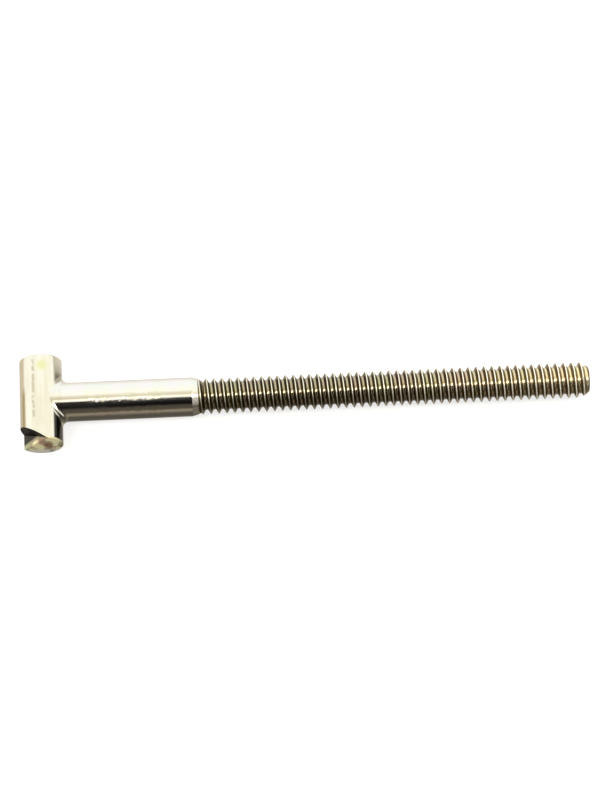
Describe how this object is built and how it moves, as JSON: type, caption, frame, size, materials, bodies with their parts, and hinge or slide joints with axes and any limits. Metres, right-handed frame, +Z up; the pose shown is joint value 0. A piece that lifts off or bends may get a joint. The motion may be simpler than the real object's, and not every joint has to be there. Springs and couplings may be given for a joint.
{
  "type": "t-bolt",
  "caption": "Bright steel T-bolt lying on its side: round cross-bar head, smooth shank and a long fine thread",
  "frame": {"origin": "where the bolt axis crosses the cross-bar's axis, in the middle of the head", "axes": "+X along the bolt axis from the head to the threaded point, +Y along the cross-bar, +Z up as it lies"},
  "size_m": [0.0756, 0.012, 0.0056],
  "materials": {
    "bright_steel": "polished bright steel, faintly warm, with light handling scratches"
  },
  "bodies": {
    "root": {"t_bolt": "bright_steel"}
  },
  "joints": []
}
